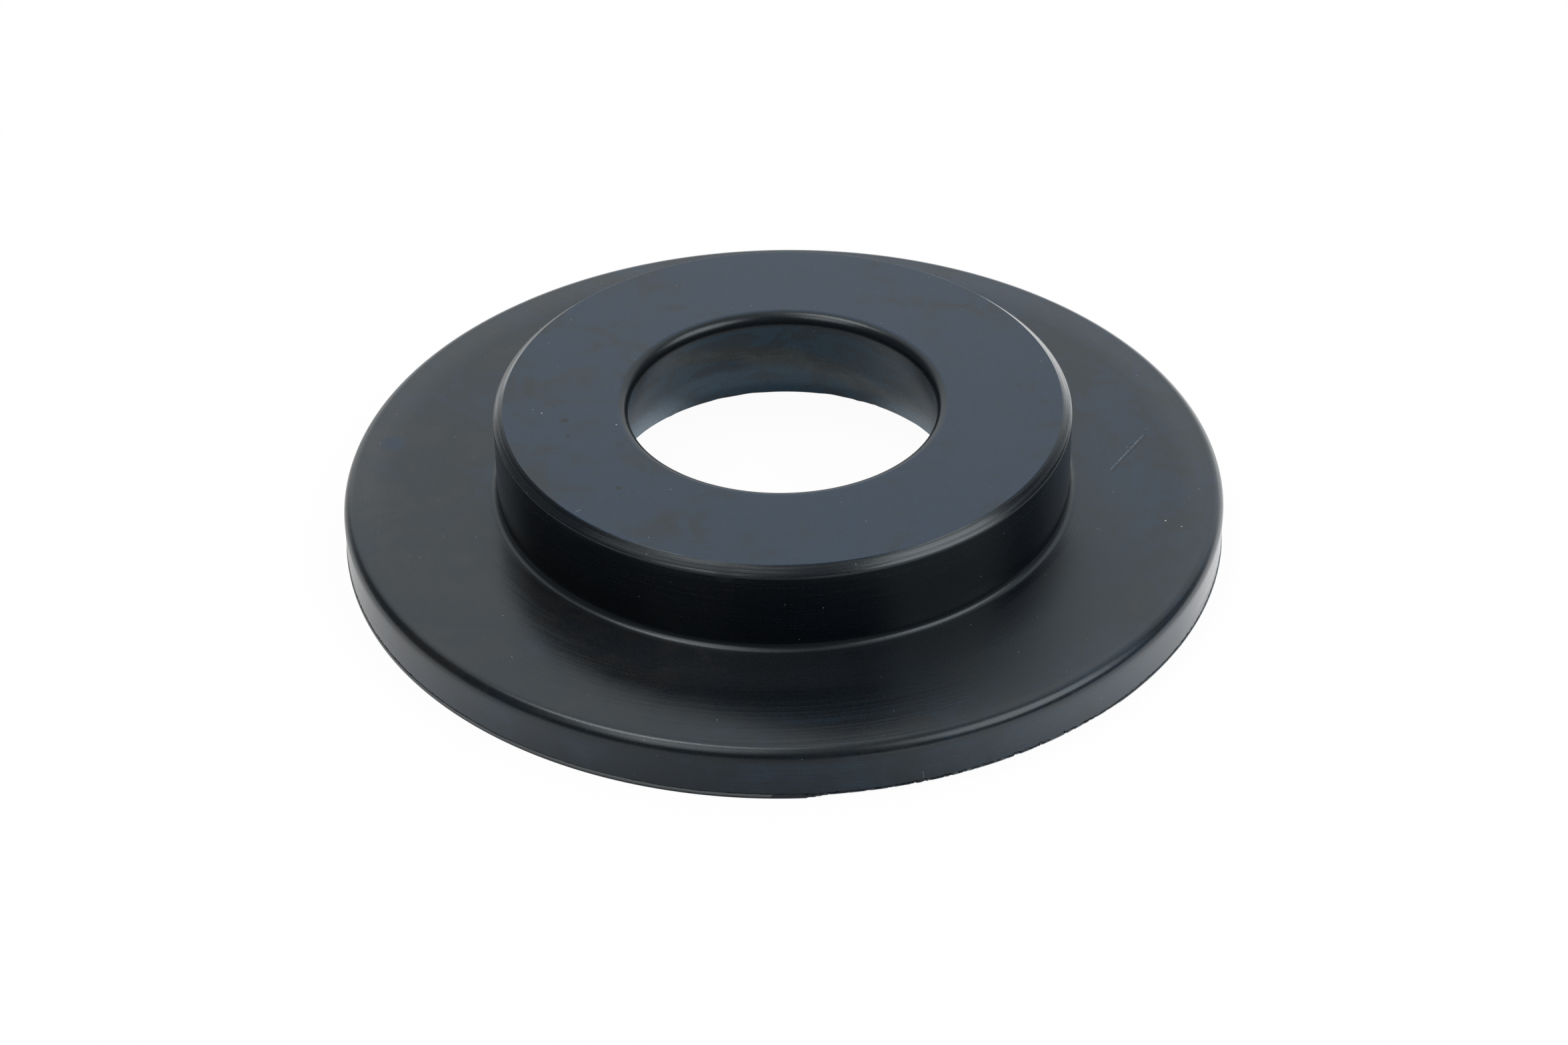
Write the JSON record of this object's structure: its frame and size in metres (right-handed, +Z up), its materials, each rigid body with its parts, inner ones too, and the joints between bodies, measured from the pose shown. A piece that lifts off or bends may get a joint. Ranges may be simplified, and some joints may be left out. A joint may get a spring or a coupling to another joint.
{
  "type": "coil spring insulator",
  "caption": "Round moulded rubber pad with a flat flange that a coil spring bears on, a chamfered hub that centres it, and a hole through the middle that widens downwards.",
  "frame": {"origin": "centre of the underside, on the plane that the flange rests on", "axes": "+Z up along the axis of the hub, towards the spring"},
  "size_m": [0.1304, 0.1304, 0.0215],
  "materials": {
    "rubber": "satin, as moulded"
  },
  "bodies": {
    "root": {"insulator": "rubber"}
  },
  "joints": []
}
